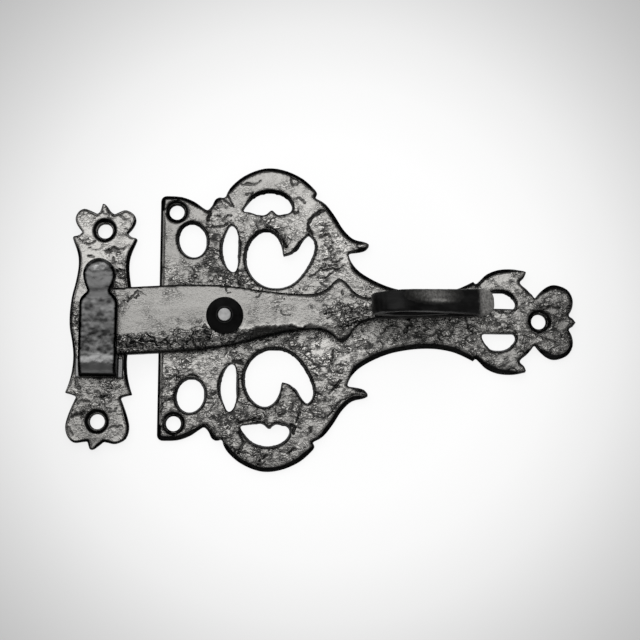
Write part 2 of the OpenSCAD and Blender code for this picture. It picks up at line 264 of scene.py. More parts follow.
def noise_node(tree, place, scale, detail, roughness=0.5):
    """Smooth noise over the place, with about as many waves to the metre as the scale says."""
    return add(tree, "TexNoise", Vector=place, Scale=scale, Detail=detail, Roughness=roughness).outputs[0]


def ramp(tree, value, low, high, out_low=0.0, out_high=1.0):
    """Carries the value smoothly from the range low to high to the range out_low to out_high."""
    node = add(tree, "MapRange", _interpolation_type="SMOOTHSTEP", Value=value)
    for name, number in (("From Min", low), ("From Max", high), ("To Min", out_low), ("To Max", out_high)):
        node.inputs[name].default_value = number
    return node.outputs[0]


def mix(tree, factor, a, b, blend="MIX"):
    node = add(tree, "Mix", _data_type="RGBA", _blend_type=blend)
    for socket, value in ((node.inputs[0], factor), (node.inputs[6], a), (node.inputs[7], b)):
        if isinstance(value, bpy.types.NodeSocket):
            tree.links.new(value, socket)
        else:
            socket.default_value = value
    return node.outputs[2]


def grey(value, warmth=0.0):
    return (value * (1 + warmth), value, value * (1 - 2 * warmth), 1)


def painted(tree, name):
    """The value that the pieces carry under this name, 0 where they carry none."""
    return add(tree, "Attribute", _attribute_name=name).outputs["Fac"]


def rise(tree):
    """How far the surface's normal points up."""
    return add(tree, "SeparateXYZ", Vector=add(tree, "NewGeometry").outputs["Normal"]).outputs[2]


def line_of(tree, value, level, width):
    """1 on the contour line of the value at the level, falling to 0 at the width on both sides."""
    away = math_node(tree, "ABSOLUTE", math_node(tree, "SUBTRACT", value, level))
    return ramp(tree, away, width * 0.25, width, 1.0, 0.0)


def bump(tree, shader, height, strength, distance):
    """Roughens the shader's normal by the height, up to the distance in millimetres."""
    made = add(tree, "Bump", Strength=strength, Distance=distance * MM, Height=height)
    tree.links.new(made.outputs[0], shader.inputs["Normal"])


def skin_group():
    """Creases, lumps and grain of a cast skin, with painted highlights and painted shade on its relief,
    all over Object coordinates in metres.
    """
    tree = bpy.data.node_groups.new("cast_skin", "ShaderNodeTree")
    for name in ("Rough", "Lumpy"):
        tree.interface.new_socket(name, in_out="INPUT", socket_type="NodeSocketFloat")
    for name in ("Creases", "Light", "Grain", "Cloud", "Height"):
        tree.interface.new_socket(name, in_out="OUTPUT", socket_type="NodeSocketFloat")
    given = tree.nodes.new("NodeGroupInput")
    out = tree.nodes.new("NodeGroupOutput")
    rough, lumpy = given.outputs["Rough"], given.outputs["Lumpy"]
    place = add(tree, "TexCoord").outputs["Object"]
    wander = add(tree, "TexNoise", Vector=place, Scale=700.0, Detail=1.0).outputs["Color"]
    wander = vector_node(tree, "MULTIPLY_ADD", wander, (0.9 * MM,) * 3, place)
    flat_way = vector_node(tree, "MULTIPLY", wander, (0.7, 1.2, 1.0))
    wide = noise_node(tree, flat_way, 270.0, 1.5)
    fine = noise_node(tree, flat_way, 620.0, 1.5)
    foil = noise_node(tree, flat_way, 1250.0, 1.0)
    grain = noise_node(tree, place, 2000.0, 2.0, 0.7)
    cloud = noise_node(tree, place, 120.0, 2.0, 0.55)
    broken = noise_node(tree, place, 330.0, 1.0)
    where = math_node(tree, "ADD", cloud, rough)

    # Dark creases on contour lines of the noise, each with a painted highlight line beside it; their dark
    # is lacquer left in them and painted shade
    creases, light = 0.0, 0.0
    for value, level, width, low, high, dark in (
            (wide, 0.5, 0.038, 0.7, 0.95, 0.94), (fine, 0.5, 0.06, 0.75, 1.1, 0.94),
            (fine, 0.64, 0.04, 0.58, 0.85, 0.94), (foil, 0.47, 0.06, 0.5, 0.95, 0.7)):
        mask = ramp(tree, where, low, high)
        line = math_node(tree, "MULTIPLY", line_of(tree, value, level, width),
                         math_node(tree, "MULTIPLY", mask, dark))
        creases = math_node(tree, "MAXIMUM", line, creases)
        line = math_node(tree, "MULTIPLY", line_of(tree, value, level + 1.7 * width, width), mask)
        light = math_node(tree, "MAXIMUM", line, light)
    unbroken = ramp(tree, broken, 0.32, 0.52)
    creases = math_node(tree, "MULTIPLY", creases, unbroken)
    light = math_node(tree, "MULTIPLY", light, unbroken)

    # Height: the noises where it is rough, less the creases, with the grain over all
    swell = math_node(tree, "MULTIPLY_ADD", wide, 0.2, math_node(tree, "MULTIPLY", foil, 0.34))
    swell = math_node(tree, "MULTIPLY", math_node(tree, "MULTIPLY_ADD", fine, 0.3, swell), rough)
    height = math_node(tree, "MULTIPLY_ADD", creases, -0.1, swell)
    height = math_node(tree, "MULTIPLY_ADD", grain, 0.06, height)

    # Lumps: the ridges rise and get painted highlights, the hollows and cavities get painted shade
    ridge = math_node(tree, "MULTIPLY", line_of(tree, wide, 0.535, 0.045), lumpy)
    hollow = math_node(tree, "MULTIPLY", line_of(tree, wide, 0.48, 0.03), lumpy)
    cavity = math_node(tree, "MULTIPLY", ramp(tree, fine, 0.42, 0.34), lumpy)
    height = math_node(tree, "MULTIPLY_ADD", ridge, 0.2, height)
    light = math_node(tree, "MAXIMUM", light, ridge)
    creases = math_node(tree, "MAXIMUM", creases, math_node(tree, "MAXIMUM", hollow, cavity))
    for name, value in (("Creases", creases), ("Light", light), ("Grain", grain),
                        ("Cloud", cloud), ("Height", height)):
        tree.links.new(value, out.inputs[name])
    return tree


cast_skin = skin_group()


def cast_iron(name, flat):
    """Black lacquered cast iron: its raised flats are light from wear, with painted highlights and painted
    shade on them; its slopes are painted black.
    """
    made, tree, shader = material(name)
    skin = add(tree, "Group", _node_tree=cast_skin, Rough=painted(tree, "rough"),
               Lumpy=painted(tree, "lumpy")).outputs
    # Surfaces that turn away from up are painted black: lacquer left on them, and painted shade; the slope
    # painted lit keeps the light colour
    facing = math_node(tree, "MAXIMUM", ramp(tree, rise(tree), 0.73, 0.86), painted(tree, "bare"))
    dull, bright = grey(flat * 0.86, WARMTH), grey(flat * 1.14, WARMTH)
    worn_and_lit = mix(tree, ramp(tree, skin["Grain"], 0.3, 0.7), dull, bright)
    worn_and_lit = mix(tree, ramp(tree, skin["Cloud"], 0.45, 0.7, 0.0, 0.16), worn_and_lit, grey(flat * 0.4, WARMTH))
    # Painted highlights beside the creases and on the ridges of the lumps
    worn_and_lit = mix(tree, skin["Light"], worn_and_lit, grey(flat * 1.35, WARMTH))
    # The tone carries painted shade along edges and in creases, down to black
    worn_and_lit = mix(tree, painted(tree, "tone"), grey(0.0), worn_and_lit)
    # The creases darken to the lacquer: lacquer left in them, and painted shade
    worn_and_lit = mix(tree, skin["Creases"], worn_and_lit, grey(LACQUER_AND_SHADE))
    tree.links.new(mix(tree, facing, grey(LACQUER_AND_SHADE), worn_and_lit), shader.inputs["Base Color"])
    shader.inputs["Metallic"].default_value = 1.0
    tree.links.new(math_node(tree, "MULTIPLY_ADD", skin["Grain"], 0.12, 0.22), shader.inputs["Roughness"])
    shader.inputs["Specular Tint"].default_value = grey(0.35)
    bump(tree, shader, skin["Height"], strength=1.0, distance=1.0)
    return made


def smooth_iron(name, flat, shine, mottle=0.3, steep=None):
    """Smooth black iron, faintly uneven; with a steep range, what rises less is painted black, as lacquer
    and as painted shade.
    """
    made, tree, shader = material(name)
    place = add(tree, "TexCoord").outputs["Object"]
    cloud = noise_node(tree, place, 300.0, 3.0)
    colour = mix(tree, ramp(tree, cloud, 0.3, 0.7), grey(flat * (1 - mottle)), grey(flat * (1 + mottle)))
    if steep is not None:
        colour = mix(tree, painted(tree, "tone"), grey(0.0), colour)
        # What rises less is painted black: lacquer, and painted shade of the slopes and undersides
        colour = mix(tree, ramp(tree, rise(tree), *steep), grey(LACQUER_AND_SHADE), colour)
    tree.links.new(colour, shader.inputs["Base Color"])
    shader.inputs["Metallic"].default_value = 1.0
    tree.links.new(ramp(tree, cloud, 0.2, 0.8, shine - 0.04, shine + 0.06), shader.inputs["Roughness"])
    shader.inputs["Specular Tint"].default_value = grey(0.35)
    bump(tree, shader, noise_node(tree, place, 1500.0, 2.0), strength=0.6, distance=0.03)
    return made


def gloss_black(name, worn_and_lit):
    """Glossy black lacquer, turned grey where the piece is painted for wear and for painted highlights."""
    made, tree, shader = material(name)
    place = add(tree, "TexCoord").outputs["Object"]
    streaks = vector_node(tree, "MULTIPLY", place, (0.4, 1.5, 1.0))
    cloud = noise_node(tree, streaks, 420.0, 3.0)
    grain = noise_node(tree, place, 1300.0, 3.0, 0.65)
    rubbed = painted(tree, "rubbed")
    black = mix(tree, ramp(tree, cloud, 0.35, 0.7), grey(0.0015), grey(0.009))
    # The grey of the end's wear and of the painted highlights
    bare = mix(tree, ramp(tree, grain, 0.35, 0.65), grey(worn_and_lit * 0.6, WARMTH), grey(worn_and_lit * 1.3, WARMTH))
    tree.links.new(mix(tree, rubbed, black, bare), shader.inputs["Base Color"])
    tree.links.new(math_node(tree, "MULTIPLY_ADD", rubbed, 0.2, 0.34), shader.inputs["Roughness"])
    shader.inputs["Specular IOR Level"].default_value = 0.12
    height = math_node(tree, "MULTIPLY_ADD", grain, rubbed, math_node(tree, "MULTIPLY", cloud, 0.4))
    bump(tree, shader, height, strength=0.7, distance=0.06)
    return made


def give(piece, *finishes):
    piece.data.materials.clear()
    for finish in finishes:
        piece.data.materials.append(finish)


# The pieces

# A crease is (half width, amount, places along it) and a spot is (x, y, radius, amount), lengths
# in millimetres. Rough is how much the skin is creased and lumpy, tone is how light it is, with painted
# shade.

PLATE_CREASES = [
    (0.8, 1.0, [(-5.2, 32.3), (-5.5, 30.5), (-5.6, 29.3)]),
    (0.3, 1.0, [(0.3, 36.7), (1.0, 35.1), (1.8, 33.2)]),
    (0.35, 1.0, [(-1.4, 35.9), (1.3, 33.6)]),
    (0.3, 0.9, [(-1.3, 29.3), (-0.3, 30.3), (1.4, 30.7)]),
    (0.25, 0.8, [(-3.6, 30.6), (-1.8, 30.3)]),
    (0.25, 0.8, [(-6.4, 27.0), (-3.5, 27.4), (-0.7, 27.6), (1.3, 29.0)]),
    (0.3, 0.7, [(4.3, 40.0), (6.6, 40.4), (8.1, 40.3), (10.4, 41.4)]),
    (0.25, 0.7, [(5.5, 37.0), (7.6, 37.6)]),
    (0.25, 0.8, [(19.1, 42.3), (20.3, 42.8), (21.5, 41.7), (21.2, 40.2),
                 (19.7, 40.1), (19.1, 41.4), (19.1, 42.3)]),
    (0.4, 0.9, [(19.8, 32.3), (20.4, 31.4), (21.6, 32.3)]),
    (0.25, 0.7, [(20.0, 36.0), (22.1, 36.3), (23.4, 34.8)]),
    (0.55, 1.0, [(25.3, 24.8), (24.2, 28.4), (25.8, 30.9), (28.8, 32.7)]),
    (0.7, 1.0, [(11.8, 27.4), (14.2, 26.2), (16.3, 24.1), (17.8, 21.4)]),
    (0.25, 0.8, [(30.5, 21.0), (31.3, 21.7), (32.0, 21.0), (31.3, 20.1), (30.5, 21.0)]),
    (0.3, 0.8, [(28.0, 24.3), (30.6, 25.5), (31.9, 22.8)]),
    (0.3, 0.8, [(25.4, 12.5), (29.0, 15.5), (33.1, 16.2)]),
    (0.3, 0.8, [(29.6, 12.5), (35.5, 16.2)]),
    (0.25, 0.8, [(27.3, -22.1), (28.8, -22.7), (31.3, -22.3), (32.3, -20.7)]),
    (0.45, 0.9, [(33.0, -20.6), (34.7, -18.2)]),
    (0.35, 0.8, [(32.4, -9.3), (32.2, -11.5), (31.7, -14.0)]),
    (0.3, 0.9, [(32.6, -26.8), (34.5, -24.6), (36.5, -23.6), (39.7, -22.6)]),
    (0.35, 0.8, [(30.6, -29.0), (32.4, -27.8)]),
    (0.35, 0.8, [(25.9, -32.6), (25.9, -34.1)]),
    (0.3, 0.8, [(23.1, -24.9), (22.5, -28.2), (21.5, -30.6)]),
    (0.5, 0.9, [(23.4, -24.9), (24.9, -25.3), (26.4, -24.3)]),
    (0.25, 0.7, [(12.2, -26.5), (12.4, -28.3)]),
    (0.3, 0.8, [(16.1, -28.9), (18.3, -28.2)]),
    (0.35, 0.8, [(18.9, -40.0), (21.5, -38.7)]),
    (0.3, 0.9, [(-18.5, -26.2), (-17.2, -24.8), (-14.5, -24.0)]),
    (0.8, 1.0, [(2.5, -13.3), (4.9, -13.2)]),
    (0.45, 1.0, [(3.8, -30.5), (4.8, -31.1), (10.6, -30.0)]),
    (0.4, 0.9, [(4.5, -33.9), (6.1, -36.8), (4.4, -40.7)]),
    (0.35, 0.9, [(10.0, -44.2), (11.2, -42.2), (12.9, -40.6)]),
    (0.6, 0.9, [(-3.6, -22.8), (-2.7, -22.5)]),
    (0.3, 0.8, [(-17.0, -18.8), (-14.7, -17.6), (-12.0, -18.2)]),
    (0.3, 0.8, [(-15.5, -21.8), (-13.7, -20.6), (-12.8, -22.4)]),
    (0.7, 1.0, [(-12.0, -18.5), (-10.2, -17.4), (-8.1, -17.8)]),
    (0.6, 1.0, [(19.9, -31.9), (21.1, -32.4), (20.7, -34.4)]),
    (0.6, 1.0, [(-9.3, -33.7), (-7.0, -32.7), (-5.2, -31.8)]),
    (0.5, 1.0, [(-5.2, -32.1), (-4.3, -34.1), (-2.8, -35.9), (-0.7, -36.2)]),
    (0.35, 0.8, [(4.3, 5.3), (3.9, 9.8), (3.3, 14.3)]),
    (0.3, 0.8, [(27.4, 17.0), (29.8, 18.0), (32.5, 17.1), (34.9, 18.3)]),
    (0.3, 0.8, [(28.7, 14.3), (31.9, 15.3), (34.0, 14.4)]),
    (0.3, 0.7, [(61.1, -4.8), (63.2, -3.3), (64.1, -5.6)]),
    (0.3, 0.8, [(53.3, -4.0), (54.8, -1.6)]),
    (0.3, 0.7, [(71.5, 0.7), (72.7, -2.8), (75.1, -3.7)]),
    (0.35, 0.8, [(81.1, 3.0), (84.4, 2.1), (88.0, 3.9)]),
    (0.3, 0.7, [(82.0, -2.7), (85.0, -1.8), (87.1, -3.6)]),
    (0.3, 0.7, [(94.3, 2.5), (96.7, 4.7), (100.0, 4.1)]),
    (0.3, 0.7, [(95.5, -5.0), (98.8, -6.4)]),
]

PLATE_ROUGH = [(-15, 31, 7, -0.33), (-15, 20, 5, -0.25), (-4, 15, 6, 0.22), (-12, 7, 6, 0.18),
               (6, 40, 7, -0.25), (17, 43, 6, -0.25), (25, 38, 6, -0.2), (24, 29, 4, -0.2),
               (-4, 22.5, 3, 0.4), (20.4, 33.8, 2, 0.3), (0, 8, 9, 0.3), (6, -37, 10, 0.3),
               (60, -4, 18, 0.22), (84, 12, 4, -0.2), (-14.5, -19.5, 4, 0.3), (26, -18, 14, 0.12),
               (97, 0, 10, 0.1)]
PLATE_TONE = [(-15, 25, 12, -0.18), (-4, 14, 9, -0.12), (8, 41, 9, -0.07), (100, 0, 8, -0.18),
              (87, -12, 6, -0.12), (10, -30, 20, -0.14), (24, 30, 8, 0.1), (60, -5, 18, -0.2),
              (97, 0, 12, -0.18), (-8, -12, 9, 0.12), (84, 13, 4, 0.1), (30, -10, 9, 0.24),
              (36, 20, 8, 0.18), (-4, 22.5, 3, -0.1)]
PLATE_VOXEL = 0.41
STRAIGHT_END = -17.6  # what lies left of this is the sloping edge of the plate's straight end


def make_back_plate():
    piece = skin_copy("back_plate", "back_plate_casting", PLATE_VOXEL)
    at, out = points(piece)
    cut_finer(piece, (out[:, 2] > FINER) & beside(at, PLATE_CREASES))
    at, out = points(piece)
    front = step(out[:, 2], *FACING)
    # Painted shade: dark rims on the front along its walls, the second kept off the straight end
    rim = 1 - step(from_walls(at, out, low=2.8, steep=0.4) + 0.25 * drift(at, 1.3, 4), 0.3, 0.75)
    edge = 1 - step(from_walls(at, out, low=3.0, steep=0.6) + 0.15 * drift(at, 1.3, 8), 0.3, 0.6)
    rim = np.maximum(rim, edge * (at[:, 0] > -17))
    lines = strokes(at, PLATE_CREASES) * front
    tone = 0.66 + spots(at, PLATE_TONE)
    # The tone is darkened by the painted shade of the rims and in the creases
    paint(piece, "tone", tone * (1 - 0.95 * np.maximum(rim, lines)))
    # Painted light: the sloping edge of the straight end gets the light colour of the flats
    sloping = (at[:, 0] < STRAIGHT_END) * (out[:, 0] < -0.5) * (np.abs(at[:, 1]) < 32)
    paint(piece, "bare", step(at[:, 2], 2.5, 2.9) * sloping)
    roughen(piece, 0.38 + spots(at, PLATE_ROUGH), front, lines, 0.35)
    give(piece, cast_iron("plate_black_iron", 0.5))
    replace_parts(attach(piece, "plate"), "back_plate")


KEEPER_CREASES = [
    (0.35, 0.8, [(-43.7, 22.9), (-42.5, 21.7), (-41.1, 21.5), (-39.0, 22.6)]),
    (0.3, 0.7, [(-43.4, 21.8), (-42.8, 22.7), (-41.9, 22.4)]),
    (0.6, 0.8, [(-35.6, 19.2), (-33.8, 20.3), (-31.7, 19.3)]),
    (0.4, 0.8, [(-33.4, 19.6), (-30.5, 20.5), (-29.0, 21.6)]),
    (0.35, 0.7, [(-33.8, 17.4), (-33.1, 16.2)]),
    (0.5, 0.9, [(-32.7, 13.8), (-28.8, 13.7)]),
    (0.25, 0.5, [(-41.1, 20.2), (-39.2, 19.5), (-37.7, 20.0), (-36.9, 21.7)]),
    (0.3, 0.7, [(-38.3, 31.0), (-35.4, 31.3)]),
    (0.25, 0.6, [(-32.3, 30.0), (-29.8, 28.7), (-28.9, 27.9)]),
    (0.6, 0.4, [(-29.3, 29.2), (-28.5, 27.4)]),
    (0.3, 0.7, [(-41.5, 17.8), (-39.7, 17.8)]),
    (0.8, 0.7, [(-44.0, -18.9), (-43.0, -21.5)]),
    (0.3, 0.8, [(-42.2, -25.3), (-39.7, -25.5)]),
    (0.3, 0.8, [(-38.5, -22.5), (-36.8, -22.6)]),
    (0.35, 0.9, [(-36.3, -23.9), (-35.1, -23.7)]),
    (0.25, 0.7, [(-34.7, -23.3), (-33.5, -25.4)]),
    (0.25, 0.6, [(-38.0, -25.9), (-34.6, -26.3), (-33.6, -25.2)]),
    (0.5, 0.9, [(-44.9, -29.8), (-42.9, -29.5), (-41.5, -28.9)]),
    (0.3, 0.8, [(-33.9, -28.8), (-32.0, -28.3), (-31.6, -27.5)]),
    (0.4, 0.8, [(-34.0, -33.4), (-32.3, -33.0), (-30.2, -32.8)]),
    (0.35, 0.7, [(-34.7, -21.1), (-31.8, -21.4), (-30.9, -20.7)]),
    (0.9, 0.6, [(-46.0, -33.4), (-45.1, -35.5)]),
]

KEEPER_ROUGH = [(-31.5, 12.5, 3.5, 0.7), (-45, -2, 6, 0.5), (-38, -26, 9, 0.4), (-44, 23.5, 3, 0.3)]
KEEPER_TONE = [(-38, 28, 8, 0.12), (-38, 17, 5, 0.04), (-38, -28, 10, -0.22), (-39, -37, 4, -0.2),
               (-45, 0, 6, -0.1)]
KEEPER_VOXEL = 0.28


def make_keeper_plate():
    piece = skin_copy("keeper_plate", "keeper_casting", KEEPER_VOXEL)
    at, out = points(piece)
    front = step(out[:, 2], *FACING)
    # Painted shade: a dark rim on the front along its walls, and in the creases
    edge = 1 - step(from_walls(at, out, low=3.0, steep=0.6) + 0.15 * drift(at, 1.3, 8), 0.35, 0.65)
    lines = strokes(at, KEEPER_CREASES) * front
    tone = 0.66 + spots(at, KEEPER_TONE)
    paint(piece, "tone", tone * (1 - 0.95 * np.maximum(edge, lines)))
    roughen(piece, 0.14 + spots(at, KEEPER_ROUGH), front, lines, 0.45)
    give(piece, cast_iron("keeper_black_iron", 0.54))
    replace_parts(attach(piece, "keeper"), "keeper_plate")


LEVER_CREASES = [
    (0.2, 0.7, [(8.8, 6.9), (9.7, 7.4), (10.6, 6.8), (10.0, 5.6), (9.1, 5.6)]),
    (0.2, 0.7, [(16.6, 1.8), (16.9, 0.7), (18.4, 0.2), (19.5, 0.4)]),
    (0.35, 0.8, [(34.8, 7.4), (34.8, 6.5)]),
    (0.4, 0.8, [(37.2, 6.6), (37.8, 6.0)]),
    (0.3, 0.7, [(34.8, 3.6), (35.4, 3.0)]),
    (0.3, 0.7, [(36.3, 3.9), (36.9, 3.0)]),
    (0.3, 0.8, [(29.6, 0.8), (31.9, 1.4), (34.3, 1.8), (36.9, 1.8), (39.9, 3.0)]),
    (0.25, 0.8, [(30.5, -0.4), (32.8, 0.7)]),
    (0.4, 0.9, [(33.7, -1.2), (34.6, 0.9), (36.9, 1.4), (39.3, 1.2), (42.9, -0.2)]),
    (0.3, 0.8, [(34.3, -2.7), (36.7, -1.2), (39.3, -0.3), (41.7, 0.1)]),
    (0.25, 0.7, [(35.2, -3.0), (37.6, -2.6), (39.0, -1.4)]),
    (0.25, 0.8, [(-28.9, 5.1), (-28.2, 4.2), (-27.7, 5.1), (-26.8, 6.3),
                 (-25.7, 6.9), (-25.3, 5.5), (-26.2, 4.9), (-27.1, 5.1)]),
    (0.25, 0.8, [(-28.5, 3.9), (-28.0, 4.5)]),
    (0.2, 0.5, [(-25.1, 6.7), (-23.3, 5.5)]),
    (0.25, 0.8, [(0.3, 7.6), (0.8, 8.5)]),
    (0.2, 0.6, [(0.6, 6.7), (1.8, 6.7)]),
    (0.25, 0.8, [(-6.6, -3.8), (-5.5, -2.9), (-5.2, -3.9)]),
]

# Pairs along the lever from its pivot: its lower edge, the upper border of the rough band, the
# band's tone, darkest as painted shade, and the width of the painted shadow along the lower edge

LOWER_EDGE = [(-20, -9.9), (0, -9.3), (20, -5.7), (33, -9.4), (36, -8), (46, -3)]
BAND_BORDER = [(-32, -4.0), (-22, -4.0), (-7, -2.9), (5, -4.2), (20, -4.2), (33, -4.5), (44, -3.0)]
BAND_TONE = [(0, 0.7), (9, 0.1), (18, 0.1), (24, 0.34), (34, 0.5), (44, 0.55)]
SHADOW_STRIP_WIDTH = [(-10, 1.1), (10, 1.9), (30, 1.3)]
LEVER_ROUGH = [(-32, 6, 4, 0.3), (12, 5, 6, 0.1)]

LEVER_VOXEL = 0.3
CLOSED = math.radians(3.56)  # how far the closed lever is turned from the row
TONGUE_TOP = 10.4            # what is higher on the lever is the handle's bar
HANDLE_START = 44.2          # where the handle starts, along the lever from the pivot
BAR_STEP = 0.4               # how finely the height of the handle's bar is measured along it


def along_lever(at):
    """Places along and across the closed lever, from the pivot, in millimetres."""
    return (at[:, 0] * math.cos(CLOSED) + at[:, 1] * math.sin(CLOSED),
            at[:, 1] * math.cos(CLOSED) - at[:, 0] * math.sin(CLOSED))


def round_the_bar(piece):
    """Takes the facets out of the top of the handle's bar, always inwards."""
    at, out = points(piece)
    u, _ = along_lever(at)
    top = np.flatnonzero((at[:, 2] > 10.9) & (out[:, 2] > 0.15))
    cells = np.arange(44, 80, BAR_STEP)
    which = np.digitize(u[top], cells) - 1
    high = np.array([at[top[which == i], 2].max(initial=-1) for i in range(len(cells))])
    known = high > 0
    high = np.interp(cells, cells[known], high[known])
    reach, width = 20, 3.5
    spread = np.exp(-(np.arange(-reach, reach + 1) * BAR_STEP / width) ** 2)
    even = np.convolve(np.pad(high, reach, mode="edge"), spread / spread.sum(), mode="valid")
    drop = np.minimum(even - high, 0)
    upper = top[at[top, 2] > np.interp(u[top], cells, high) - 1.0]
    at[upper, 2] += np.interp(u[upper], cells, drop)
    piece.data.vertices.foreach_set("co", (at * MM).ravel())
    piece.data.update()


def paint_lever(piece):
    """The smooth tongue, light from wear, the rough band along its lower edge, a painted shadow under that
    edge, a painted shade outline, and painted highlights.
    """
    at, out = points(piece)
    u, v = along_lever(at)
    front = step(out[:, 2], *FACING)
    flat = at[:, 2] < TONGUE_TOP
    depth = v - along(u, LOWER_EDGE)
    inside = along(u, BAND_BORDER) - v + (0.9 * drift(at, 2.4) + 0.6 * drift(at, 0.9, 7))
    band = step(inside, -0.3, 0.5) * (1 - step(u, 44, 47))
    # Painted highlights: a bright line along the band's upper border and a bright ring under the washer
    glint_lip = np.exp(-((inside + 0.5) / 0.28) ** 2) * step(u, -16, 0) * (1 - step(u, 20, 30))
    ring = np.exp(-((np.hypot(u, v) - 6.3) / 0.3) ** 2) * step(-v, 1, 4) * (u > -4)
    far = step(u + 2 * drift(at, 3, 3), 26, 34) * 0.55 * step(-v + 0.8 * drift(at, 1.5, 3), -3, -0.8)
    rough = 0.08 + 0.1 * step(u, 5, 10) + 0.8 * band * (u < 8) + far + spots(at, LEVER_ROUGH)
    tone = 0.62 + 0.04 * step(v, 2, 6) + 0.08 * step(u, 8, 20)
    tone = tone + (along(u, BAND_TONE) - tone) * band + 0.4 * np.maximum(ring, glint_lip) + 0.4 * far
    # Painted shadow: black along the lower edge
    shadow_strip = 1 - step(depth, 0.5, along(u, SHADOW_STRIP_WIDTH))
    wider = step(u, 15, 30)
    # Painted shade: a dark outline along the tongue's walls, wider from 15 to 30 mm along
    outline = from_walls(at, out, low=9.2, steep=0.6) + 0.1 * drift(at, 1.3, 8)
    shade_brim = 1 - step(outline, 0.4 + 0.25 * wider, 0.6 + 0.5 * wider)
    lines = strokes(at, LEVER_CREASES) * front
    paint(piece, "rough", rough * flat)
    paint(piece, "tone", tone * (1 - 0.9 * np.maximum(np.maximum(shadow_strip, lines), shade_brim)))
    paint(piece, "lumpy", band * flat * (1 - ring) * (1 - step(u, 4, 10)))
    paint(piece, "lines", lines)
    paint(piece, "band", band * step(at[:, 2], 6.8, 9.9) * step(-depth, -5.5, 0.5) * flat)
    paint(piece, "front_rough", front * flat * np.clip(rough, 0, 1))


def paint_handle(piece):
    """Grey painted on the handle: its end, light from wear and painted light, a soft spot of painted sheen
    on top and a short painted highlight in it.
    """
    at, _ = points(piece)
    u, v = along_lever(at)
    end = step(u + 0.6 * drift(at, 1.5, 5), 74.2, 76.5)
    # Painted highlights: a soft spot of sheen and a bright line along the top of the bar
    sheen_patch = np.exp(-((u - 61) / 5) ** 2 - ((v - 1.7) / 1.6) ** 2)
    highlight_dash = np.exp(-((u - 62.5) / 2.8) ** 2 - (v / 0.4) ** 2)
    paint(piece, "rubbed", np.maximum(end, (sheen_patch * 0.75 + 1.3 * highlight_dash) * (at[:, 2] > 16)))


def make_lever():
    piece = skin_copy("lever", "lever_bar", LEVER_VOXEL)
    at, _ = points(piece)
    paint(piece, "bar", step(at[:, 2], 10.8, 12.4))
    apply_modifier(piece, "SMOOTH", factor=0.5, iterations=20, vertex_group="bar")
    round_the_bar(piece)
    at, out = points(piece)
    cut_finer(piece, (out[:, 2] > FINER) & (at[:, 2] < TONGUE_TOP) & beside(at, LEVER_CREASES))
    paint_lever(piece)
    paint_handle(piece)
    lower(piece, 1.0, "band")
    sink(piece, lumps, 0.3, "front_rough")
    sink(piece, creases, 0.1, "front_rough")
    lower(piece, 0.3, "lines")
    give(piece, cast_iron("lever_black_iron", 0.4), gloss_black("handle_gloss_black", 0.26))
    for face in piece.data.polygons:
        x, y, z = face.center / MM
        u = x * math.cos(CLOSED) + y * math.sin(CLOSED)
        face.material_index = int(z > TONGUE_TOP or u > HANDLE_START)
    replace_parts(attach(piece, "lever"), "lever")


HOOK_VOXEL = 0.22
HOOK_MIDDLE = (-36.9, -2.8)
HOOK_LEAN = math.radians(0.4)

# Pairs along the hook's strap from its middle, knuckle first and tip last: its tone, with the painted
# light and shade of the knuckle's bend

HOOK_TONE = [(-16, 0.4), (-12.6, 0.45), (-12.1, 0.4), (-10, 0.5), (-9, 0.2), (-5, 0.12), (0, 0.18),
             (5, 0.14), (8.5, 0.2), (9.8, 0.08), (11, 0.24), (14.2, 0.25), (15.2, 0.2), (16, 1), (17.5, 1)]


def make_hook():
    piece = skin_copy("keeper_hook", "keeper_strap", HOOK_VOXEL)
    at, _ = points(piece)
    x, y = at[:, 0] - HOOK_MIDDLE[0], at[:, 1] - HOOK_MIDDLE[1]
    u = x * math.cos(HOOK_LEAN) - y * math.sin(HOOK_LEAN)
    v = x * math.sin(HOOK_LEAN) + y * math.cos(HOOK_LEAN)
    paint(piece, "strap", step(at[:, 2], 10.9, 12))
    apply_modifier(piece, "SMOOTH", factor=0.5, iterations=45, vertex_group="strap")
    at, out = points(piece)
    high = step(v, -9, -5)
    bow = high * (0.04 * u * u + 0.12 * u)
    sag = (1 - high) * (0.02 * u * u - 0.08 * u)
    tone = along(v + 0.25 * drift(at, 3, 2) - bow + sag, HOOK_TONE)
    broad, small = (at * np.array([width, 1.0, 1.0], np.float32) for width in (0.5, 0.7))
    dents = drift(broad, 1.3, 9) + 0.8 * drift(small, 0.8, 4)
    tone = tone * np.clip(1 + 1.1 * dents * (np.abs(v + 1) < 8.4), 0.3, 2.2)
    # Painted shade: a dark rim along the strap's rounded edges
    edge = from_walls(at, out, low=11.5, steep=0.45) + 0.1 * drift(at, 1.5, 6)
    edge = 1 - step(edge, 0.75, 1.25)
    paint(piece, "tone", np.where(at[:, 2] < 8, 0.45, tone * (1 - 0.95 * edge)))
    paint(piece, "face", step(out[:, 2], *FACING) * (at[:, 2] > 11))
    sink(piece, hammer_marks, 0.22, "face")
    give(piece, smooth_iron("hook_black_iron", 0.48, 0.3, 0.15, steep=(0.5, 0.75)))
    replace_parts(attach(piece, "keeper"), "keeper_hook")


WASHER_VOXEL, RIVET_VOXEL = 0.13, 0.14


